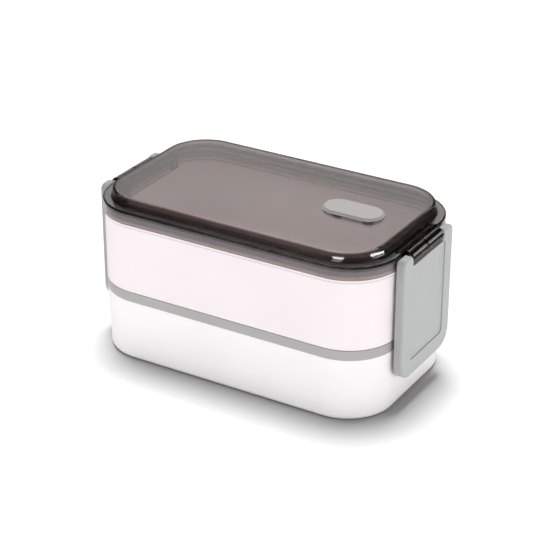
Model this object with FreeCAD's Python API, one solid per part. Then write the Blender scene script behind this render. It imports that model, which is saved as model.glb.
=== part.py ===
import FreeCAD, Part
import math
import os

# Two-tier lunch box, closed. Millimetres, +Z up, long side along X.
# The origin is at floor level under the middle of the box.

# Outline of the top lid, which every other outline follows.
LID_LENGTH = 204.4
LID_WIDTH = 120.0
LID_CORNER = 33.2

# Heights of the visible bands, from the floor up.
LOWER_HEIGHT = 41.7
BAND_HEIGHT = 6.85
UPPER_HEIGHT = 46.55
SKIRT_HEIGHT = 8.4
DOME_HEIGHT = 6.65

# Insets of the outer walls from the lid outline.
UPPER_BEAD_INSET = 0.5
UPPER_TOP_INSET = 0.85
BAND_INSET = 0.95
LOWER_FOOT_INSET = 2.05

# Walls, floors and fits.
SKIRT_WALL = 1.3
BAND_WALL = 1.3
RIM_WALL = 1.4
RIM_FIT = 0.35
CHANNEL_WIDTH = 4.8
PLUG_WALL = 1.6
LEDGE_THICKNESS = 1.8
DOME_TOP_WALL = 1.2
DOME_SIDE_WALL = 2.2
GASKET_HEIGHT = 1.6
GASKET_FIT = 0.15
TRAY_FLOOR = 2.4
FLOOR_INSET = 1.6
FLOOR_ROUND = 6.0
FOOT_ROUND = 3.0
FOOT_RING = 9.0
FOOT_RECESS = 0.8
SHOULDER_GAP = 0.3
BEAD_HEIGHT = 1.5
BEAD_ROUND = 0.5
NEST_DEPTH = 1.6
TIER_GAP = 0.45
PLATE_THICKNESS = 2.0
MIDDLE_PLUG_DROP = 5.0

# Raised middle of the lid.
DOME_BASE_SIDE = 4.1
DOME_BASE_END = 4.7
DOME_TOP_SIDE = 5.0
DOME_TOP_END = 7.6
DOME_BASE_CORNER = 28.8
DOME_TOP_CORNER = 27.0
DOME_ROUND = 1.7
DOME_INNER_ROUND = 1.2

# Set-back of the lid and upper tray behind each clasp.
RECESS_DEPTH = 5.1
RECESS_SIDE_GAP = 3.0
RECESS_ROUND = 2.5
SKIRT_CORNER_ROUND = 2.0
LEDGE_SETBACK = 2.1
LEDGE_SETBACK_ROUND = 1.0
PLUG_TURN_ROUND = 2.1

# Hinge of each clasp.
BARREL_RADIUS = 4.3
BARREL_REACH = 1.8
BARREL_DROP = 4.2
BARREL_LENGTH = 39.0
BARREL_SLOT = 0.7
BRACKET_HEIGHT = 2.6
PIN_REACH = 3.4
PIN_DROP = 3.3
PIN_RADIUS = 1.25
PIN_FIT = 0.05
PIN_CENTRE_GAP = 1.2
PIN_END_GAP = 2.6
PIN_BORE_SPARE = 0.2

# Clasp.
CLASP_WIDTH = 63.6
CLASP_REACH = 6.3
CLASP_DEPTH = 5.5
CLASP_CORNER = 12.0
CLASP_EDGE = 1.4
CLASP_TAIL = 10.2
CLASP_WALL = 2.2
EAR_GAP = 0.5
EAR_TOP = 2.6
EAR_CORNER = 4.2
EAR_BACK_DEPTH = 1.3
EAR_BACK_DROP = 1.1
PANEL_GAP = 0.45
PANEL_WALL = 2.0
PANEL_SINK = 0.8
PANEL_BORDER = 10.0
PANEL_FOOT = 11.0
PANEL_CORNER = 4.0

# Catch on the lower tray and hook on the clasp.
CATCH_HEIGHT = 31.3
CATCH_OUT = 3.0
CATCH_LAND = 0.8
CATCH_LEAD = 3.7
CATCH_WIDTH = 30.0
HOOK_WIDTH = 26.0
HOOK_GAP = 0.5
HOOK_TIP_GAP = 0.7
HOOK_HEIGHT = 2.4

# Steam vent on the lid.
VENT_X = 56.7
VENT_LENGTH = 39.8
VENT_WIDTH = 19.6
VENT_PAD = 0.9
VENT_PAD_ROUND = 0.3
VENT_CAP = 1.45
VENT_CAP_INSET = 0.6
VENT_ROUND = 0.6
VENT_LIFT = 4.0
STUD_SPACING = 21.0
STUD_RADIUS = 2.5
STUD_FIT = 0.3
BARB_RADIUS = 3.6
BARB_HEIGHT = 1.6
BARB_TIP_RADIUS = 2.0
STEAM_HOLE_RADIUS = 1.6

# Levels.
Z_BAND = LOWER_HEIGHT
Z_UPPER = Z_BAND + BAND_HEIGHT
Z_SKIRT = Z_UPPER + UPPER_HEIGHT
Z_LEDGE = Z_SKIRT + SKIRT_HEIGHT
Z_TOP = Z_LEDGE + DOME_HEIGHT
Z_PLATE = Z_UPPER - NEST_DEPTH
Z_PLATE_UNDER = Z_PLATE - PLATE_THICKNESS
Z_LOWER_RIM = Z_PLATE_UNDER - GASKET_HEIGHT
Z_LEDGE_UNDER = Z_LEDGE - LEDGE_THICKNESS
Z_UPPER_RIM = Z_LEDGE_UNDER - GASKET_HEIGHT
Z_SHOULDER = Z_SKIRT - SHOULDER_GAP
Z_PIN = Z_LEDGE - PIN_DROP
X_PIN = LID_LENGTH / 2 + PIN_REACH

# Overlap of cutting blocks past the face they cut, and tolerances for picking edges.
CLEAR = 1.0
BLOCK_REACH = 20.0
SAME = 1e-6
NEAR = 0.2
STEEP = 8
ARC_FLAT = 0.01


def vec(x, y, z):
    return FreeCAD.Vector(x, y, z)


def rounded(length, width, corner, z):
    """Rounded rectangle around the Z axis at height z."""
    x = length / 2
    y = width / 2
    a = x - corner
    b = y - corner
    k = corner * math.sqrt(0.5)
    edges = []
    for sx, sy in ((1, 1), (-1, 1), (-1, -1), (1, -1)):
        p_x = vec(sx * x, sy * b, z)
        p_m = vec(sx * (a + k), sy * (b + k), z)
        p_y = vec(sx * a, sy * y, z)
        if sx * sy > 0:
            edges.append(Part.Arc(p_x, p_m, p_y).toShape())
            edges.append(Part.makeLine(p_y, vec(-sx * a, sy * y, z)))
        else:
            edges.append(Part.Arc(p_y, p_m, p_x).toShape())
            edges.append(Part.makeLine(p_x, vec(sx * x, -sy * b, z)))
    return Part.Wire(edges)


def inset_wire(inset, z):
    return rounded(LID_LENGTH - 2 * inset, LID_WIDTH - 2 * inset, LID_CORNER - inset, z)


def prism(inset, z0, z1):
    """Upright block on the lid outline moved in by inset."""
    return Part.Face(inset_wire(inset, z0)).extrude(vec(0, 0, z1 - z0))


def taper(inset0, z0, inset1, z1):
    """Block on the lid outline whose inset changes with height."""
    return Part.makeLoft([inset_wire(inset0, z0), inset_wire(inset1, z1)], True, True)


def box(x0, x1, y0, y1, z0, z1):
    return Part.makeBox(x1 - x0, y1 - y0, z1 - z0, vec(x0, y0, z0))


def upright_edges(shape):
    found = []
    for e in shape.Edges:
        bb = e.BoundBox
        if bb.ZLength > STEEP * max(bb.XLength, bb.YLength):
            found.append(e)
    return found


def level_edges(shape, z):
    """Edges that lie in the level plane at z."""
    found = []
    for e in shape.Edges:
        bb = e.BoundBox
        if bb.ZLength < SAME and abs(bb.ZMin - z) < SAME:
            found.append(e)
    return found


def corner_edges(block, z, half):
    """Edges along X at height z, at the given distance to both sides of the middle."""
    found = []
    for e in block.Edges:
        bb = e.BoundBox
        along_x = bb.YLength < SAME and bb.ZLength < SAME
        if along_x and abs(bb.ZMin - z) < SAME and abs(abs(bb.YMin) - half) < SAME:
            found.append(e)
    return found


def clasp_border_edges(shape, x, y_limit, z_limit):
    """Edges in the plane at x that go round the outside of the clasp and its ears."""
    found = []
    for e in shape.Edges:
        bb = e.BoundBox
        in_plane = bb.XLength < SAME and abs(bb.XMin - x) < SAME
        at_side = max(abs(bb.YMin), abs(bb.YMax)) > y_limit
        at_end = bb.ZMin > z_limit or bb.ZMax < z_limit / 2
        if in_plane and (at_side or at_end):
            found.append(e)
    return found


def mirrored(shape):
    """The same shape at the other end of the box."""
    return shape.mirror(vec(0, 0, 0), vec(1, 0, 0))


def recess(inset, z0, z1, depth=RECESS_DEPTH, corner=None):
    """Block that sets an outline back behind both clasps, for a wall moved in by inset."""
    if corner is None:
        corner = RECESS_ROUND + inset
    half = BARREL_LENGTH / 2 + RECESS_SIDE_GAP + inset
    floor = LID_LENGTH / 2 - depth - inset
    right = box(floor, LID_LENGTH / 2 + BLOCK_REACH, -half, half, z0, z1)
    inner = [e for e in upright_edges(right) if abs(e.BoundBox.XMin - floor) < SAME]
    right = right.makeFillet(corner, inner)
    return [right, mirrored(right)]


def soften(shape, radius, inset, depth=RECESS_DEPTH):
    """Round the two outer upright corners that each set-back leaves."""
    half = BARREL_LENGTH / 2 + RECESS_SIDE_GAP + inset
    outside = LID_LENGTH / 2 - depth - inset + CLEAR / 2
    picked = []
    for e in upright_edges(shape):
        bb = e.BoundBox
        if abs(abs(bb.YMin) - half) < NEAR and abs(bb.XMin) > outside:
            picked.append(e)
    return shape.makeFillet(radius, picked)


def dome(shift, z0, z1, edge):
    """Raised middle of the lid; shift moves its faces in to give the space below it."""
    base = rounded(
        LID_LENGTH - 2 * (DOME_BASE_END + shift),
        LID_WIDTH - 2 * (DOME_BASE_SIDE + shift),
        DOME_BASE_CORNER - shift,
        z0,
    )
    top = rounded(
        LID_LENGTH - 2 * (DOME_TOP_END + shift),
        LID_WIDTH - 2 * (DOME_TOP_SIDE + shift),
        DOME_TOP_CORNER - shift,
        z1,
    )
    solid = Part.makeLoft([base, top], True, True)
    return solid.makeFillet(edge, level_edges(solid, z1))


def stadium(length, width, z0, z1):
    """Block with round ends at the vent's place."""
    outline = rounded(length, width, width / 2 - ARC_FLAT, z0)
    solid = Part.Face(outline).extrude(vec(0, 0, z1 - z0))
    solid.translate(vec(VENT_X, 0, 0))
    return solid


def rod(radius, x, z, y0, y1):
    """Cylinder along Y."""
    return Part.makeCylinder(radius, y1 - y0, vec(x, y0, z), vec(0, 1, 0))


def wedge(points, y0, y1):
    """Block with the given outline in X and Z, between two Y planes."""
    corners = [vec(x, y0, z) for x, z in points]
    face = Part.Face(Part.makePolygon(corners + corners[:1]))
    return face.extrude(vec(0, y1 - y0, 0))


# Lower tray: drafted wall, stepped-in rim, foot ring and a catch at each end.
rim_inset = BAND_INSET + BAND_WALL + RIM_FIT
lower_wall = taper(LOWER_FOOT_INSET, 0, BAND_INSET, Z_BAND)
lower_wall = lower_wall.makeFillet(FOOT_ROUND, level_edges(lower_wall, 0))
lower_rim = prism(rim_inset, Z_BAND - CLEAR, Z_LOWER_RIM)
lower_top = rim_inset + RIM_WALL
lower_space = taper(lower_top + FLOOR_INSET, TRAY_FLOOR, lower_top, Z_LOWER_RIM + CLEAR)
lower_space = lower_space.makeFillet(FLOOR_ROUND, level_edges(lower_space, TRAY_FLOOR))
foot_hollow = prism(LOWER_FOOT_INSET + FOOT_RING, -CLEAR, FOOT_RECESS)

wall_slope = (LOWER_FOOT_INSET - BAND_INSET) / LOWER_HEIGHT
wall_x = LID_LENGTH / 2 - BAND_INSET - wall_slope * (LOWER_HEIGHT - CATCH_HEIGHT)
root_x = wall_x - CLEAR
tip_x = wall_x + CATCH_OUT
catch = wedge(
    [
        (root_x, CATCH_HEIGHT - CLEAR),
        (tip_x, CATCH_HEIGHT + CATCH_OUT),
        (tip_x, CATCH_HEIGHT + CATCH_OUT + CATCH_LAND),
        (root_x, CATCH_HEIGHT + CATCH_OUT + CATCH_LAND + CATCH_LEAD),
    ],
    -CATCH_WIDTH / 2,
    CATCH_WIDTH / 2,
)
lower_tray = lower_wall.fuse([lower_rim, catch, mirrored(catch)]).removeSplitter()
lower_tray = lower_tray.cut([lower_space, foot_hollow])

# Middle lid: visible band, plate that carries the upper tray, plug wall inside the lower tray.
pocket_inset = BAND_INSET + BAND_WALL
plug_inset = pocket_inset + CHANNEL_WIDTH
middle_block = prism(BAND_INSET, Z_BAND, Z_UPPER - TIER_GAP)
middle_plug = prism(plug_inset, Z_PLATE_UNDER - MIDDLE_PLUG_DROP, Z_PLATE_UNDER + CLEAR)
nest = prism(pocket_inset, Z_PLATE, Z_UPPER + CLEAR)
channel = prism(pocket_inset, Z_BAND - CLEAR, Z_PLATE_UNDER).cut(prism(plug_inset, 0, Z_UPPER))
plug_space = prism(plug_inset + PLUG_WALL, 0, Z_PLATE_UNDER)
middle_lid = middle_block.fuse(middle_plug).removeSplitter().cut([nest, channel, plug_space])

middle_gasket = prism(pocket_inset + GASKET_FIT, Z_LOWER_RIM, Z_PLATE_UNDER)
middle_gasket = middle_gasket.cut(prism(plug_inset - GASKET_FIT, 0, Z_UPPER))

# Upper tray: nests in the middle lid, set back behind the clasps, stepped-in rim under the lid.
upper_rim_inset = SKIRT_WALL + RIM_FIT
upper_top = upper_rim_inset + RIM_WALL
nest_inset = pocket_inset + RIM_FIT
upper_wall = taper(BAND_INSET, Z_UPPER, UPPER_TOP_INSET, Z_SHOULDER)
upper_wall = upper_wall.cut(recess(BAND_INSET, 0, Z_TOP))
upper_wall = soften(upper_wall, RECESS_ROUND, BAND_INSET)
upper_bead = prism(UPPER_BEAD_INSET, Z_SHOULDER - BEAD_HEIGHT, Z_SHOULDER)
upper_bead = upper_bead.cut(recess(UPPER_BEAD_INSET, 0, Z_TOP))
upper_bead = soften(upper_bead, RECESS_ROUND, UPPER_BEAD_INSET)
upper_bead = upper_bead.makeFillet(BEAD_ROUND, level_edges(upper_bead, Z_SHOULDER))
upper_foot = prism(nest_inset, Z_PLATE, Z_UPPER + CLEAR).cut(recess(nest_inset, 0, Z_TOP))
upper_rim = prism(upper_rim_inset, Z_SHOULDER - CLEAR, Z_UPPER_RIM)
upper_rim = upper_rim.cut(recess(upper_rim_inset, 0, Z_TOP))
upper_floor = Z_PLATE + TRAY_FLOOR
upper_space = taper(upper_top + FLOOR_INSET, upper_floor, upper_top, Z_UPPER_RIM + CLEAR)
upper_space = upper_space.makeFillet(FLOOR_ROUND, level_edges(upper_space, upper_floor))
upper_space = upper_space.cut(recess(upper_top, 0, Z_TOP + CLEAR))
upper_tray = upper_wall.fuse([upper_bead, upper_foot, upper_rim]).removeSplitter()
upper_tray = upper_tray.cut(upper_space)

# Top lid: skirt and ledge, raised middle, plug wall, hinge barrels and vent holes.
lid_plug_inset = SKIRT_WALL + CHANNEL_WIDTH
core_inset = lid_plug_inset + PLUG_WALL
skirt = prism(0, Z_SKIRT, Z_LEDGE_UNDER).cut(recess(0, 0, Z_TOP))
skirt = soften(skirt, SKIRT_CORNER_ROUND, 0)
ledge = prism(0, Z_LEDGE_UNDER, Z_LEDGE)
ledge = ledge.cut(recess(0, 0, Z_TOP, LEDGE_SETBACK, LEDGE_SETBACK_ROUND))
ledge = soften(ledge, LEDGE_SETBACK_ROUND, 0, LEDGE_SETBACK)
ledge = ledge.makeFillet(LEDGE_THICKNESS / 2, level_edges(ledge, Z_LEDGE))
raised = dome(0, Z_LEDGE - LEDGE_THICKNESS, Z_TOP, DOME_ROUND)
under = dome(DOME_SIDE_WALL, Z_LEDGE, Z_TOP - DOME_TOP_WALL, DOME_INNER_ROUND)
lid_channel = prism(SKIRT_WALL, 0, Z_LEDGE_UNDER).cut(recess(SKIRT_WALL, -CLEAR, Z_TOP))
lid_inside = prism(lid_plug_inset, -CLEAR, Z_TOP)
lid_inside = lid_inside.cut(recess(lid_plug_inset, -2 * CLEAR, Z_TOP + CLEAR))
lid_channel = lid_channel.cut(lid_inside)
core = prism(core_inset, Z_SKIRT - CLEAR, Z_LEDGE + CLEAR / 2)
core = core.cut(recess(core_inset, -CLEAR, Z_TOP, RECESS_DEPTH, PLUG_TURN_ROUND))
core = soften(core, PLUG_TURN_ROUND, core_inset)

x_barrel = LID_LENGTH / 2 + BARREL_REACH
z_barrel = Z_LEDGE - BARREL_DROP
half_barrel = BARREL_LENGTH / 2
barrel = rod(BARREL_RADIUS, x_barrel, z_barrel, -half_barrel, half_barrel)
bracket_x = LID_LENGTH / 2 - RECESS_DEPTH - SKIRT_WALL / 2
bracket_z = z_barrel - BRACKET_HEIGHT / 2
bracket = box(bracket_x, x_barrel, -half_barrel, half_barrel, bracket_z, bracket_z + BRACKET_HEIGHT)
slot_x = x_barrel - BARREL_RADIUS / 2
slot_end = x_barrel + BARREL_RADIUS + CLEAR
slot = box(slot_x, slot_end, -BARREL_SLOT / 2, BARREL_SLOT / 2, 0, Z_TOP)
pin_bore = rod(PIN_RADIUS + PIN_FIT, X_PIN, Z_PIN, -half_barrel - CLEAR, half_barrel + CLEAR)
knuckle = barrel.fuse(bracket).removeSplitter().cut([slot, pin_bore])

vent_holes = [Part.makeCylinder(STEAM_HOLE_RADIUS, DOME_HEIGHT + CLEAR, vec(VENT_X, 0, Z_LEDGE))]
for side in (-1, 1):
    stud_at = vec(VENT_X + side * STUD_SPACING / 2, 0, Z_LEDGE)
    vent_holes.append(Part.makeCylinder(STUD_RADIUS + STUD_FIT, DOME_HEIGHT + CLEAR, stud_at))
top_lid = skirt.fuse([ledge, raised]).removeSplitter().cut([lid_channel, core, under] + vent_holes)
top_lid = top_lid.fuse([knuckle, mirrored(knuckle)])

lid_gasket = prism(SKIRT_WALL + GASKET_FIT, Z_UPPER_RIM, Z_LEDGE_UNDER)
lid_gasket = lid_gasket.cut(recess(SKIRT_WALL + GASKET_FIT, 0, Z_TOP))
gasket_hole_inset = lid_plug_inset - GASKET_FIT
gasket_hole = prism(gasket_hole_inset, 0, Z_TOP)
gasket_hole = gasket_hole.cut(recess(gasket_hole_inset, -CLEAR, Z_TOP + CLEAR))
lid_gasket = lid_gasket.cut(gasket_hole)

# Steam vent: soft pad with two barbed studs, hard cap on top.
vent_seal = stadium(VENT_LENGTH, VENT_WIDTH, Z_TOP, Z_TOP + VENT_PAD)
vent_seal = vent_seal.makeFillet(VENT_PAD_ROUND, level_edges(vent_seal, Z_TOP + VENT_PAD))
barb_top = Z_TOP - DOME_TOP_WALL - VENT_LIFT - STUD_FIT
studs = []
for side in (-1, 1):
    stud_x = VENT_X + side * STUD_SPACING / 2
    stud_foot = vec(stud_x, 0, barb_top - BARB_HEIGHT)
    studs.append(Part.makeCylinder(STUD_RADIUS, Z_TOP + VENT_PAD / 2 - stud_foot.z, stud_foot))
    studs.append(Part.makeCone(BARB_TIP_RADIUS, BARB_RADIUS, BARB_HEIGHT, stud_foot))
vent_seal = vent_seal.fuse(studs).removeSplitter()

cap_z = Z_TOP + VENT_PAD
cap_length = VENT_LENGTH - 2 * VENT_CAP_INSET
cap_width = VENT_WIDTH - 2 * VENT_CAP_INSET
vent_cap = stadium(cap_length, cap_width, cap_z, cap_z + VENT_CAP)
vent_cap = vent_cap.makeFillet(VENT_ROUND, level_edges(vent_cap, cap_z + VENT_CAP))

# Clasp: plate with two ears, sunk panel, hollow back and a hook under the catch.
face_x = LID_LENGTH / 2 + CLASP_REACH
back_x = face_x - CLASP_DEPTH
half_clasp = CLASP_WIDTH / 2
ear_y = half_barrel + EAR_GAP
clasp_foot = CATCH_HEIGHT - CLASP_TAIL
clasp_top = Z_PIN + EAR_TOP
panel_back = face_x - PANEL_SINK - PANEL_WALL
panel_clear = BARREL_RADIUS + PANEL_GAP
panel_top = z_barrel - math.sqrt(panel_clear ** 2 - (panel_back - x_barrel) ** 2)

clasp = box(back_x, face_x, -half_clasp, half_clasp, clasp_foot, clasp_top)
head_gap = box(back_x - CLEAR, face_x + CLEAR, -ear_y, ear_y, panel_top, clasp_top + CLEAR)
clasp = clasp.cut(head_gap)
clasp = clasp.makeFillet(CLASP_CORNER, corner_edges(clasp, clasp_foot, half_clasp))
ear_corners = corner_edges(clasp, clasp_top, half_clasp) + corner_edges(clasp, clasp_top, ear_y)
clasp = clasp.makeFillet(EAR_CORNER, ear_corners)
border = clasp_border_edges(clasp, face_x, ear_y + NEAR, panel_top + NEAR)
clasp = clasp.makeFillet(CLASP_EDGE, border)
ear_back = wedge(
    [
        (back_x - EAR_BACK_DEPTH, clasp_top - 2 * EAR_BACK_DROP),
        (back_x + 2 * EAR_BACK_DEPTH, clasp_top + EAR_BACK_DROP),
        (back_x - EAR_BACK_DEPTH, clasp_top + EAR_BACK_DROP),
    ],
    -half_clasp - CLEAR,
    half_clasp + CLEAR,
)
clasp = clasp.cut(ear_back)

sink_half = half_clasp - PANEL_BORDER
sink_z = clasp_foot + PANEL_FOOT
sink = box(face_x - PANEL_SINK, face_x + CLEAR, -sink_half, sink_half, sink_z, clasp_top + CLEAR)
sink = sink.makeFillet(PANEL_CORNER, corner_edges(sink, sink_z, sink_half))
sink_cap = box(back_x, face_x + 2 * CLEAR, -ear_y, ear_y, panel_top - CLEAR, clasp_top + 2 * CLEAR)
sink_low = box(back_x, face_x + 2 * CLEAR, -half_clasp, half_clasp, 0, panel_top)
sink = sink.common(sink_low.fuse(sink_cap))
hollow_half = half_clasp - CLASP_WALL
hollow_z = clasp_foot + CLASP_WALL
hollow = box(back_x - CLEAR, panel_back, -hollow_half, hollow_half, hollow_z, panel_top + CLEAR)
hollow = hollow.makeFillet(CLASP_CORNER - CLASP_WALL, corner_edges(hollow, hollow_z, hollow_half))
hollow_top = panel_top - CLASP_WALL
hollow = hollow.cut(box(back_x - 2 * CLEAR, face_x, ear_y, half_clasp, hollow_top, clasp_top))
hollow = hollow.cut(box(back_x - 2 * CLEAR, face_x, -half_clasp, -ear_y, hollow_top, clasp_top))
clasp = clasp.cut([sink, hollow])

hook_tip = wall_x + HOOK_TIP_GAP
hook_rise = HOOK_TIP_GAP - HOOK_GAP
hook_top_x = tip_x + HOOK_GAP
hook_top_z = CATCH_HEIGHT + hook_rise + hook_top_x - hook_tip
hook_low = CATCH_HEIGHT + hook_rise - HOOK_HEIGHT
hook = wedge(
    [
        (hook_tip, CATCH_HEIGHT + hook_rise),
        (hook_top_x, hook_top_z),
        (panel_back + CLEAR / 2, hook_top_z),
        (panel_back + CLEAR / 2, hook_low),
        (hook_tip, hook_low),
    ],
    -HOOK_WIDTH / 2,
    HOOK_WIDTH / 2,
)
pin_end = half_clasp - PIN_END_GAP
bores = []
for side in (-1, 1):
    y_pair = sorted((side * (ear_y - CLEAR), side * (pin_end + PIN_BORE_SPARE)))
    bores.append(rod(PIN_RADIUS + PIN_FIT, X_PIN, Z_PIN, y_pair[0], y_pair[1]))
clasp_right = clasp.fuse(hook).removeSplitter().cut(bores)
clasp_left = mirrored(clasp_right)

# Hinge pins: one in each ear, meeting near the slot in the barrel.
pin_right_front = rod(PIN_RADIUS, X_PIN, Z_PIN, -pin_end, -PIN_CENTRE_GAP)
pin_right_rear = rod(PIN_RADIUS, X_PIN, Z_PIN, PIN_CENTRE_GAP, pin_end)

pieces = {
    "lower_tray": lower_tray,
    "middle_lid": middle_lid,
    "middle_gasket": middle_gasket,
    "upper_tray": upper_tray,
    "top_lid": top_lid,
    "lid_gasket": lid_gasket,
    "vent_seal": vent_seal,
    "vent_cap": vent_cap,
    "clasp_right": clasp_right,
    "clasp_left": clasp_left,
    "hinge_pin_right_front": pin_right_front,
    "hinge_pin_right_rear": pin_right_rear,
    "hinge_pin_left_front": mirrored(pin_right_front),
    "hinge_pin_left_rear": mirrored(pin_right_rear),
}

os.makedirs("parts", exist_ok=True)
for name, shape in pieces.items():
    solid = shape.Solids[0]
    if len(shape.Solids) != 1 or not solid.isValid():
        raise ValueError(name + " is not one valid solid")
    solid.exportStep("parts/" + name + ".step")
    bb = solid.BoundBox
    size = [round(v, 2) for v in (bb.XLength, bb.YLength, bb.ZLength)]
    print(name, size, "mm", round(solid.Volume, 1), "mm3")
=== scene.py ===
import math

import bpy
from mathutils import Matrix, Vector

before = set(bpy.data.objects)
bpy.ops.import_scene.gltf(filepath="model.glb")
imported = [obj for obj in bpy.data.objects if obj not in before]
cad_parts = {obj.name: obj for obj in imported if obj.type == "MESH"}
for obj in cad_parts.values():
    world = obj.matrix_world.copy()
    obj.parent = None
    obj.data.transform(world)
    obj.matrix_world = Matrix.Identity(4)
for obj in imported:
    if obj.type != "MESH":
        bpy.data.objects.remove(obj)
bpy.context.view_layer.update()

MM = 0.001

# Camera: degrees, metres and image sizes in pixels of the square picture.
PICTURE_WIDTH = 533
CAMERA_AZIMUTH = 31.07
CAMERA_ELEVATION = 26.545
CAMERA_DISTANCE = 1.14035
CAMERA_FOCAL_PIXELS = 1806.28
CAMERA_TARGET = Vector((-0.00409, -0.00074, 0.05795))
CAMERA_REACH = 20.0
SENSOR_WIDTH = 36.0

# Colours of the mouldings, the seals and the steel pins.
UPPER_WHITE = (0.93, 0.855, 0.88)
# The lower tray's white is lighter than the upper's: painted light that makes up for the shade low on the
# box.
LOWER_WHITE_PAINTED_LIGHT = (0.965, 0.925, 0.94)
BAND_GREY = (0.445, 0.427, 0.431)
CLASP_GREY = (0.475, 0.478, 0.482)
VENT_GREY = (0.485, 0.462, 0.438)
SEAL_GREY = (0.40, 0.44, 0.50)
PAD_GREY = (0.56, 0.535, 0.515)
STEEL_DARK = (0.52, 0.52, 0.53)
STEEL_PALE = (0.66, 0.66, 0.66)

# Moulded plastic: refraction, and the noise scales of its flow marks and rub marks.
PLASTIC_IOR = 1.49
FLOW_SCALE = 26.0
RUB_SCALE = 140.0
RUB_STRETCH = (1.0, 1.0, 0.25)

# Share of the colour that flow marks keep, and share by which rub marks change the roughness.
FLOW_SHADE = 0.975
RUB_CHANGE = 0.15

# Worn edges, lighter partly from wear and partly as a painted highlight: gain and lift of the colour,
# loss of roughness, and width against the edge's round.
WEAR_AND_HIGHLIGHT_GAIN = 1.12
WEAR_AND_HIGHLIGHT_LIFT = 0.015
WORN_POLISH = 0.35
WEAR_AND_HIGHLIGHT_WIDTH = 1.5

# Painted shade: fine dark lines in corners, under the tray's bead and round the vent pad's foot.
# Height, half width and the share of the colour kept.
BEAD_SHADE_LINE = (93.0 * MM, 0.55 * MM, 0.6)
PAD_SHADOW_LINE = (110.2 * MM, 0.55 * MM, 0.12)

# Smoke in the lid's plastic, and its hairline scratches, haze and ripple.
SMOKE_COLOUR = (0.303, 0.173, 0.085, 1.0)
SMOKE_DENSITY = 330.0
HAIRLINE_SCALE = 900.0
HAIRLINE_STRETCH = (1.0, 0.06, 1.0)
HAZE_SCALE = 35.0
MARK_ROUGHNESS = 0.03
FLAT_ROUGHNESS = 0.01
LEAST_ROUGHNESS = 0.005
RIPPLE_SCALE = 55.0
RIPPLE_DEPTH = 0.006 * MM

# Steep faces of the lid, and how much each keeps of the light that passes: the skirt above its
# clear foot, then painted shade on the raised wall, darkest at its foot, on its upper part along
# the sides and bluer at the ends. The hinge barrels are clear too. A fade is half the way over
# which one gives way to the next.
SKIRT_FOOT = 97.0 * MM
SKIRT_FADE = 0.2 * MM
BARREL_START = 102.7 * MM
BARREL_FADE = 0.1 * MM
SLOPE_FOOT = 103.2 * MM
SLOPE_FOOT_FADE = 0.2 * MM
SLOPE_MIDDLE = 106.6 * MM
SLOPE_MIDDLE_FADE = 0.6 * MM
CLEAR_TINT = (1.0, 1.0, 1.0)
SKIRT_TINT = (0.74, 0.76, 0.80)
SLOPE_FOOT_PAINTED_SHADE = (0.10, 0.095, 0.103)
SLOPE_TOP_PAINTED_SHADE = (0.36, 0.312, 0.32)
SLOPE_END_PAINTED_SHADE = (0.23, 0.235, 0.26)

# Hair gap between the lid's seal and the lid.
SEAL_GAP = 0.03 * MM

# Drawn steel: scale and depth of the lines along a pin.
STEEL_LINE_SCALE = 2500.0
STEEL_LINE_STRETCH = (1.0, 0.02, 1.0)
STEEL_LINE_DEPTH = 0.01 * MM

# World: its level on the object and in gloss, where 1 is white, and the cosines at the edge of the
# white panel behind the box.
WORLD_LEVEL = 0.5
DARK_IN_GLOSS = 0.06
PANEL_EDGE = 0.93
PANEL_FULL = 0.98

# Floor: its reach, the share of light it throws back, and how much of that its mirror image keeps
# near the box and far from it.
FLOOR_REACH = 6.0
FLOOR_ALBEDO = 0.35
FLOOR_GRAIN_SCALE = 400.0
FLOOR_GRAIN_SHADE = 0.99
FLOOR_NEAR = 0.3
FLOOR_FAR = 0.5
FLOOR_NEAR_IN_GLOSS = 0.6
FLOOR_FAR_IN_GLOSS = 0.05

# Sun for the floor alone: the level at which it shows on white, and its angles in degrees.
FLOOR_SUN_LEVEL = 2.55
FLOOR_SUN_AZIMUTH = 216.0
FLOOR_SUN_ELEVATION = 80.0
FLOOR_SUN_ANGLE = 24.0

# Softboxes: azimuth, elevation, distance, width and height, with powers in watts. A share of the
# front fill leaves out the clasps.
KEY_BOX = (200.0, 70.0, 1.2, 0.9, 0.9)
KEY_POWER = 7.0
FRONT_BOX = (-25.0, 11.0, 1.4, 1.0, 0.6)
FRONT_POWER = 5.0
FRONT_OFF_CLASPS = 0.85
RIGHT_BOX = (85.0, 9.0, 1.4, 1.0, 0.6)
RIGHT_POWER = 5.5

# Bright cards that the lid's front corner mirrors as its two highlights. Each bends round the corner
# on tilted arcs: name, radius and azimuth of the crest, then for the upper and the lower row the
# start and end azimuth, the middle height and the rise to the crest.
CARD_CENTRE = Vector((80.0 * MM, -35.0 * MM, 0.0))
CARD_POINTS = 9
CARDS = (
    (
        "card_front", 462.0 * MM, 94.0,
        (-6.9, 19.1, 31.0 * MM, 81.7 * MM),
        (-8.5, 17.3, 28.0 * MM, 81.5 * MM),
    ),
    (
        "card_right", 173.0 * MM, 91.0,
        (80.9, 119.7, 61.6 * MM, 47.5 * MM),
        (84.4, 119.4, 61.6 * MM, 45.1 * MM),
    ),
)

# Strips of each card: start and end as shares of the way from its upper to its lower row, and level.
CARD_STRIPS = ((0.0, 0.85, 20.0), (1.3, 1.58, 8.0))


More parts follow.
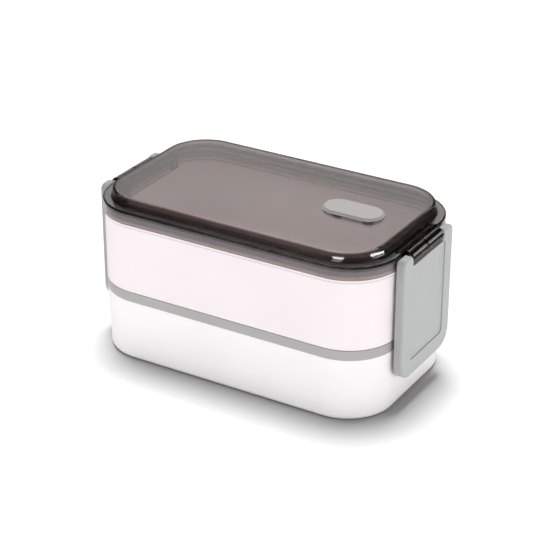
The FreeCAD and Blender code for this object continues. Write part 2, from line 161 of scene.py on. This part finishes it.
class Tree:
    """Short calls to build a node tree."""

    def __init__(self, owner):
        owner.use_nodes = True
        self.tree = owner.node_tree
        self.tree.nodes.clear()

    def add(self, kind, values=None, **settings):
        node = self.tree.nodes.new("ShaderNode" + kind)
        for name, value in settings.items():
            setattr(node, name, value)
        for name, value in (values or {}).items():
            node.inputs[name].default_value = value
        return node

    def link(self, source, target):
        self.tree.links.new(source, target)

    def feed(self, socket, value):
        """Links another node's socket, or sets a constant."""
        if isinstance(value, bpy.types.NodeSocket):
            self.link(value, socket)
        else:
            socket.default_value = value

    def noise(self, scale, detail, roughness, stretch=None):
        """Noise in the object's own metres; stretch scales the three axes."""
        coordinates = self.add("TexCoord").outputs["Object"]
        if stretch is not None:
            mapping = self.add("Mapping", {"Scale": stretch})
            self.link(coordinates, mapping.inputs["Vector"])
            coordinates = mapping.outputs["Vector"]
        node = self.add("TexNoise", {"Scale": scale, "Detail": detail, "Roughness": roughness})
        self.link(coordinates, node.inputs["Vector"])
        return node.outputs["Fac"]

    def spread(self, source, low, high, start=0.0, end=1.0):
        """Maps source from start..end onto low..high."""
        node = self.add("MapRange", {"From Min": start, "From Max": end, "To Min": low, "To Max": high})
        self.link(source, node.inputs["Value"])
        return node.outputs["Result"]

    def step(self, source, middle, fade, low=0.0, high=1.0):
        """Low under the middle value and high over it, with a fade on each side."""
        return self.spread(source, low, high, middle - fade, middle + fade)

    def mix_colour(self, factor, first, second):
        node = self.add("Mix", data_type="RGBA")
        for socket, value in ((node.inputs[6], first), (node.inputs[7], second)):
            self.feed(socket, (*value, 1.0) if isinstance(value, tuple) else value)
        self.link(factor, node.inputs[0])
        return node.outputs[2]

    def calculate(self, operation, *values):
        node = self.add("Math", operation=operation)
        for socket, value in zip(node.inputs, values):
            self.feed(socket, value)
        return node.outputs[0]

    def split(self, vector):
        """X, Y and Z of a vector."""
        node = self.add("SeparateXYZ")
        self.link(vector, node.inputs["Vector"])
        return node.outputs

    def place(self):
        """X, Y and Z in the object's own metres."""
        return self.split(self.add("TexCoord").outputs["Object"])

    def mirror_ray(self):
        """1 for rays that left a gloss by reflection, not through clear plastic."""
        path = self.add("LightPath")
        straight = self.calculate("SUBTRACT", 1.0, path.outputs["Is Transmission Ray"])
        return self.calculate("MULTIPLY", path.outputs["Is Glossy Ray"], straight)

    def height_line(self, height, half_width):
        """1 at one height of the object, fading to 0 within half_width."""
        offset = self.calculate("ABSOLUTE", self.calculate("SUBTRACT", self.place()["Z"], height))
        return self.spread(offset, 1.0, 0.0, 0.0, half_width)

    def bump(self, height, distance, strength, normal=None):
        node = self.add("Bump", {"Strength": strength, "Distance": distance})
        self.link(height, node.inputs["Height"])
        if normal is not None:
            self.link(normal, node.inputs["Normal"])
        return node.outputs["Normal"]

    def rounded_normal(self, radius):
        return self.add("Bevel", {"Radius": radius}, samples=4).outputs["Normal"]

    def edge_mask(self, radius):
        """About 1 along sharp outer edges within radius, and 0 elsewhere."""
        dot = self.add("VectorMath", operation="DOT_PRODUCT")
        self.link(self.rounded_normal(radius), dot.inputs[0])
        self.link(self.add("NewGeometry").outputs["Normal"], dot.inputs[1])
        return self.spread(dot.outputs["Value"], 1.0, 0.0, start=0.75, end=0.99)


def shade(colour, share):
    """Colour that keeps a share of its light."""
    return tuple(share * c for c in colour)


def new_material(name):
    material = bpy.data.materials.new(name)
    tree = Tree(material)
    shader = tree.add("BsdfPrincipled")
    output = tree.add("OutputMaterial")
    tree.link(shader.outputs["BSDF"], output.inputs["Surface"])
    return material, tree, shader, output


def moulded_plastic(name, colour, roughness, grain_scale, grain_depth, wear_and_highlight_share, edge_round, shade_line=None):
    """Moulded plastic: slow flow marks, fine grain, rub marks, polished edges lighter by wear and a
    painted highlight, perhaps a painted shade line.
    """
    material, tree, shader, _ = new_material(name)
    flow = tree.noise(FLOW_SCALE, detail=2.0, roughness=0.5)
    rub = tree.noise(RUB_SCALE, detail=4.0, roughness=0.6, stretch=RUB_STRETCH)
    grain = tree.noise(grain_scale, detail=2.0, roughness=0.6)
    flow_mark = tree.spread(flow, 0.0, 1.0, start=0.35, end=0.65)
    body = tree.mix_colour(flow_mark, shade(colour, FLOW_SHADE), colour)
    # Painted shade: a fine dark line at one height, where shade falls in a corner.
    if shade_line is not None:
        height, half_width, kept = shade_line
        body = tree.mix_colour(tree.height_line(height, half_width), body, shade(colour, kept))
    rubbed = tree.spread(rub, 0.0, wear_and_highlight_share, start=0.35, end=0.7)
    wear_and_highlight = tree.calculate("MULTIPLY", tree.edge_mask(edge_round * WEAR_AND_HIGHLIGHT_WIDTH), rubbed)
    # Painted highlight: worn edges are lighter, partly from wear and partly standing in for edge
    # highlights.
    worn_and_highlit = tuple(min(1.0, c * WEAR_AND_HIGHLIGHT_GAIN + WEAR_AND_HIGHLIGHT_LIFT) for c in colour)
    tree.link(tree.mix_colour(wear_and_highlight, body, worn_and_highlit), shader.inputs["Base Color"])
    smooth = roughness * (1.0 - RUB_CHANGE)
    coarse = roughness * (1.0 + RUB_CHANGE)
    rough = tree.spread(rub, smooth, coarse, start=0.3, end=0.7)
    polished = tree.calculate("MULTIPLY", wear_and_highlight, -WORN_POLISH * roughness)
    tree.link(tree.calculate("ADD", rough, polished), shader.inputs["Roughness"])
    soft = tree.rounded_normal(edge_round)
    tree.link(tree.bump(grain, grain_depth, 1.0, soft), shader.inputs["Normal"])
    shader.inputs["Specular IOR Level"].default_value = 0.5
    shader.inputs["IOR"].default_value = PLASTIC_IOR
    return material


def lid_tint_and_painted_shade(tree, facing, steep):
    """Tint of the lid: none on its flat faces; on its steep ones a skirt tint, and painted shade by
    height and facing.
    """
    place = tree.place()
    low = tree.step(place["Z"], SKIRT_FOOT, SKIRT_FADE, 1.0, 0.0)
    barrel = tree.step(tree.calculate("ABSOLUTE", place["X"]), BARREL_START, BARREL_FADE)
    skirt = tree.mix_colour(tree.calculate("MAXIMUM", low, barrel), SKIRT_TINT, CLEAR_TINT)
    endwise = tree.spread(tree.calculate("ABSOLUTE", facing["X"]), 0.0, 1.0, start=0.7, end=0.95)
    # Painted shade on the raised wall: darker at its foot, and bluer where it faces the ends.
    upper = tree.mix_colour(endwise, SLOPE_TOP_PAINTED_SHADE, SLOPE_END_PAINTED_SHADE)
    higher = tree.step(place["Z"], SLOPE_MIDDLE, SLOPE_MIDDLE_FADE)
    slope_shade = tree.mix_colour(higher, SLOPE_FOOT_PAINTED_SHADE, upper)
    above = tree.step(place["Z"], SLOPE_FOOT, SLOPE_FOOT_FADE)
    return tree.mix_colour(steep, CLEAR_TINT, tree.mix_colour(above, skirt, slope_shade))


def lid_roughness(tree, steep):
    """Haze and hairline scratches on the lid's flat faces; steep ones are clean."""
    haze = tree.noise(HAZE_SCALE, detail=3.0, roughness=0.5)
    hairlines = tree.noise(HAIRLINE_SCALE, detail=2.0, roughness=0.5, stretch=HAIRLINE_STRETCH)
    hazy = tree.spread(haze, 0.0, MARK_ROUGHNESS, start=0.35, end=0.7)
    scratched = tree.spread(hairlines, 0.0, MARK_ROUGHNESS, start=0.6, end=0.8)
    marks = tree.calculate("ADD", tree.calculate("ADD", hazy, FLAT_ROUGHNESS), scratched)
    flat = tree.calculate("SUBTRACT", 1.0, steep)
    return tree.calculate("ADD", tree.calculate("MULTIPLY", marks, flat), LEAST_ROUGHNESS)


def smoked_plastic(name):
    """Clear smoked plastic that darkens with the thickness seen through, with painted shade on its raised
    wall and hairline scratches.
    """
    material, tree, shader, output = new_material(name)
    facing = tree.split(tree.add("NewGeometry").outputs["Normal"])
    steep = tree.spread(tree.calculate("ABSOLUTE", facing["Z"]), 1.0, 0.0, start=0.45, end=0.8)
    tree.link(lid_tint_and_painted_shade(tree, facing, steep), shader.inputs["Base Color"])
    tree.link(lid_roughness(tree, steep), shader.inputs["Roughness"])
    ripple = tree.noise(RIPPLE_SCALE, detail=2.0, roughness=0.5)
    tree.link(tree.bump(ripple, RIPPLE_DEPTH, 0.5), shader.inputs["Normal"])
    shader.inputs["Transmission Weight"].default_value = 1.0
    shader.inputs["IOR"].default_value = PLASTIC_IOR
    smoke = tree.add("VolumeAbsorption", {"Color": SMOKE_COLOUR, "Density": SMOKE_DENSITY})
    tree.link(smoke.outputs["Volume"], output.inputs["Volume"])
    return material


def brushed_steel(name):
    """Drawn steel with fine lines along the pin."""
    material, tree, shader, _ = new_material(name)
    lines = tree.noise(STEEL_LINE_SCALE, detail=2.0, roughness=0.5, stretch=STEEL_LINE_STRETCH)
    tree.link(tree.mix_colour(lines, STEEL_DARK, STEEL_PALE), shader.inputs["Base Color"])
    shader.inputs["Metallic"].default_value = 1.0
    tree.link(tree.spread(lines, 0.25, 0.4), shader.inputs["Roughness"])
    tree.link(tree.bump(lines, STEEL_LINE_DEPTH, 0.4), shader.inputs["Normal"])
    return material


def finish_node(name, material):
    """Gives a whole node one material."""
    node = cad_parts[name]
    node.data.materials.clear()
    node.data.materials.append(material)
    for polygon in node.data.polygons:
        polygon.material_index = 0


def draw_in(name, gap):
    """Draws a node's faces in by a hair, so that it shows through the clear part it touches."""
    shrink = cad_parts[name].modifiers.new("draw_in", "DISPLACE")
    shrink.mid_level = 0.0
    shrink.strength = -gap


def paint_trays():
    """Satin white, a little pinker on the upper tray with its painted shade line; the lower white painted
    lighter.
    """
    # Painted shade: a fine dark line under the upper tray's bead.
    upper = moulded_plastic(
        "white_moulding", UPPER_WHITE, roughness=0.34, grain_scale=700.0, grain_depth=0.004 * MM,
        wear_and_highlight_share=0.3, edge_round=0.35 * MM, shade_line=BEAD_SHADE_LINE,
    )
    # Painted light: the lower tray's white is lighter to make up for the shade low on the box.
    lower = moulded_plastic(
        "lower_moulding_painted_light", LOWER_WHITE_PAINTED_LIGHT, roughness=0.34, grain_scale=700.0, grain_depth=0.004 * MM,
        wear_and_highlight_share=0.3, edge_round=0.35 * MM,
    )
    finish_node("upper_tray", upper)
    finish_node("lower_tray", lower)


def paint_band():
    """Light grey moulding of the middle lid."""
    band = moulded_plastic(
        "grey_moulding", BAND_GREY, roughness=0.42, grain_scale=1500.0, grain_depth=0.010 * MM,
        wear_and_highlight_share=0.4, edge_round=0.3 * MM,
    )
    finish_node("middle_lid", band)


def paint_clasps():
    """Light grey clasps on steel pins."""
    clasp = moulded_plastic(
        "clasp_moulding", CLASP_GREY, roughness=0.42, grain_scale=1500.0, grain_depth=0.012 * MM,
        wear_and_highlight_share=0.5, edge_round=0.35 * MM,
    )
    steel = brushed_steel("pin_steel")
    for side in ("right", "left"):
        finish_node("clasp_" + side, clasp)
        for place in ("front", "rear"):
            finish_node("hinge_pin_" + side + "_" + place, steel)


def paint_vent():
    """Warm grey cap on a soft pad, with a painted shadow line round the pad under the cap."""
    cap = moulded_plastic(
        "vent_moulding", VENT_GREY, roughness=0.45, grain_scale=1600.0, grain_depth=0.012 * MM,
        wear_and_highlight_share=0.4, edge_round=0.25 * MM,
    )
    # Painted shadow: a dark contact line round the pad, under the cap's edge.
    pad = moulded_plastic(
        "vent_pad", PAD_GREY, roughness=0.5, grain_scale=1200.0, grain_depth=0.012 * MM,
        wear_and_highlight_share=0.3, edge_round=0.2 * MM, shade_line=PAD_SHADOW_LINE,
    )
    finish_node("vent_cap", cap)
    finish_node("vent_seal", pad)


def paint_lid_and_seals():
    """Smoked lid, and the soft rings of both lids."""
    seal = moulded_plastic(
        "soft_seal", SEAL_GREY, roughness=0.6, grain_scale=900.0, grain_depth=0.015 * MM,
        wear_and_highlight_share=0.15, edge_round=0.2 * MM,
    )
    finish_node("middle_gasket", seal)
    finish_node("lid_gasket", seal)
    finish_node("top_lid", smoked_plastic("smoked_moulding"))
    draw_in("lid_gasket", SEAL_GAP)


def from_view(azimuth, elevation):
    """Unit vector from the object towards a viewer at these angles."""
    a = math.radians(azimuth)
    e = math.radians(elevation)
    return Vector((math.sin(a) * math.cos(e), -math.cos(a) * math.cos(e), math.sin(e)))


def add_object(name, data):
    obj = bpy.data.objects.new(name, data)
    bpy.context.scene.collection.objects.link(obj)
    return obj


def aim(obj, place, target):
    """Puts a lamp or camera at a place, facing the target."""
    obj.location = place
    obj.rotation_euler = (target - place).to_track_quat("-Z", "Y").to_euler()


def add_camera():
    """Camera at the photograph's angle."""
    data = bpy.data.cameras.new("camera")
    data.sensor_width = SENSOR_WIDTH
    data.lens = CAMERA_FOCAL_PIXELS / PICTURE_WIDTH * SENSOR_WIDTH
    data.clip_end = CAMERA_REACH
    camera = add_object("camera", data)
    back = from_view(CAMERA_AZIMUTH, CAMERA_ELEVATION)
    aim(camera, CAMERA_TARGET + back * CAMERA_DISTANCE, CAMERA_TARGET)
    bpy.context.scene.camera = camera


def floor_paper():
    """Pale paper, darker where gloss mirrors it far from the box."""
    material, tree, shader, _ = new_material("floor_paper")
    grain = tree.noise(FLOOR_GRAIN_SCALE, detail=2.0, roughness=0.5)
    pale = (FLOOR_ALBEDO,) * 3
    paper = tree.mix_colour(grain, shade(pale, FLOOR_GRAIN_SHADE), pale)
    reach = tree.add("VectorMath", operation="LENGTH")
    tree.link(tree.add("NewGeometry").outputs["Position"], reach.inputs[0])
    far = tree.spread(reach.outputs["Value"], 0.0, 1.0, FLOOR_NEAR, FLOOR_FAR)
    mirrored = tree.mix_colour(far, shade(pale, FLOOR_NEAR_IN_GLOSS), shade(pale, FLOOR_FAR_IN_GLOSS))
    tree.link(tree.mix_colour(tree.mirror_ray(), paper, mirrored), shader.inputs["Base Color"])
    shader.inputs["Roughness"].default_value = 1.0
    shader.inputs["Specular IOR Level"].default_value = 0.0
    return material


def add_floor():
    """Square floor under the box."""
    far = FLOOR_REACH
    corners = [(-far, -far, 0), (far, -far, 0), (far, far, 0), (-far, far, 0)]
    mesh = bpy.data.meshes.new("floor")
    mesh.from_pydata(corners, [], [(0, 1, 2, 3)])
    mesh.materials.append(floor_paper())
    floor = add_object("floor", mesh)
    return floor


def add_world():
    """White to the eye and through clear plastic; in gloss dark but for one panel behind the box."""
    world = bpy.data.worlds.new("studio")
    bpy.context.scene.world = world
    tree = Tree(world)
    path = tree.add("LightPath")
    seen = tree.calculate("MAXIMUM", path.outputs["Is Camera Ray"], path.outputs["Is Transmission Ray"])
    towards = tree.add("VectorMath", operation="DOT_PRODUCT")
    tree.link(tree.add("TexCoord").outputs["Generated"], towards.inputs[0])
    towards.inputs[1].default_value = from_view(180.0 + CAMERA_AZIMUTH, CAMERA_ELEVATION)
    choose = tree.add("Mix")
    tree.link(tree.mirror_ray(), choose.inputs[0])
    tree.link(tree.spread(seen, WORLD_LEVEL, 1.0), choose.inputs[2])
    panel = tree.spread(towards.outputs["Value"], DARK_IN_GLOSS, 1.0, PANEL_EDGE, PANEL_FULL)
    tree.link(panel, choose.inputs[3])
    background = tree.add("Background", {"Color": (1.0, 1.0, 1.0, 1.0)})
    tree.link(choose.outputs[0], background.inputs["Strength"])
    output = tree.add("OutputWorld")
    tree.link(background.outputs["Background"], output.inputs["Surface"])


def light_only(lamp, objects):
    """Keeps a lamp's light to these objects."""
    lit = bpy.data.collections.new(lamp.name + "_lights")
    for obj in objects:
        lit.objects.link(obj)
    lamp.light_linking.receiver_collection = lit


def add_floor_sun(floor):
    """Light for the floor alone, from behind the box, so the shadow falls towards the viewer."""
    data = bpy.data.lights.new("floor_sun", "SUN")
    data.energy = FLOOR_SUN_LEVEL * math.pi
    data.angle = math.radians(FLOOR_SUN_ANGLE)
    sun = add_object("floor_sun", data)
    aim(sun, from_view(FLOOR_SUN_AZIMUTH, FLOOR_SUN_ELEVATION), Vector((0, 0, 0)))
    light_only(sun, [floor])


def add_softbox(name, place, power):
    """Soft rectangular lamp facing the box."""
    azimuth, elevation, distance, width, height = place
    data = bpy.data.lights.new(name, "AREA")
    data.shape = "RECTANGLE"
    data.size = width
    data.size_y = height
    data.energy = power
    box = add_object(name, data)
    aim(box, CAMERA_TARGET + from_view(azimuth, elevation) * distance, CAMERA_TARGET)
    return box


def card_row(radius, crest, row):
    """Points along one row of a card, on an arc that is highest at the crest."""
    start, end, height, rise = row
    points = []
    for number in range(CARD_POINTS):
        azimuth = start + (end - start) * number / (CARD_POINTS - 1)
        level = height + rise * math.cos(math.radians(azimuth - crest))
        points.append(CARD_CENTRE + from_view(azimuth, 0.0) * radius + Vector((0, 0, level)))
    return points


def add_strip(name, upper, lower, brightness):
    """Bright strip between two rows of points, seen in gloss alone."""
    count = len(upper)
    faces = [(i, i + 1, count + i + 1, count + i) for i in range(count - 1)]
    mesh = bpy.data.meshes.new(name)
    mesh.from_pydata(upper + lower, [], faces)
    material = bpy.data.materials.new(name)
    tree = Tree(material)
    glow = tree.add("Emission", {"Strength": brightness})
    tree.link(glow.outputs["Emission"], tree.add("OutputMaterial").inputs["Surface"])
    mesh.materials.append(material)
    card = add_object(name, mesh)
    card.visible_camera = False
    card.visible_diffuse = False
    card.visible_transmission = False
    card.visible_volume_scatter = False
    card.visible_shadow = False


def add_cards():
    """Both strips of each card."""
    for name, radius, crest, upper, lower in CARDS:
        rows = list(zip(card_row(radius, crest, upper), card_row(radius, crest, lower)))
        for number, (start, end, brightness) in enumerate(CARD_STRIPS):
            top = [a.lerp(b, start) for a, b in rows]
            bottom = [a.lerp(b, end) for a, b in rows]
            add_strip(name + "_" + str(number), top, bottom, brightness)


def add_lights(floor):
    """World, cards, floor light and softboxes."""
    add_world()
    add_cards()
    add_floor_sun(floor)
    add_softbox("key", KEY_BOX, KEY_POWER)
    add_softbox("fill_front", FRONT_BOX, FRONT_POWER * (1.0 - FRONT_OFF_CLASPS))
    off_clasps = add_softbox("fill_off_clasps", FRONT_BOX, FRONT_POWER * FRONT_OFF_CLASPS)
    others = [node for name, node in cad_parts.items() if not name.startswith("clasp")]
    light_only(off_clasps, others + [floor])
    fill_right = add_softbox("fill_right", RIGHT_BOX, RIGHT_POWER)
    fill_right.visible_glossy = False


paint_trays()
paint_band()
paint_clasps()
paint_vent()
paint_lid_and_seals()
add_camera()
add_lights(add_floor())
bpy.context.scene.view_settings.view_transform = "Standard"
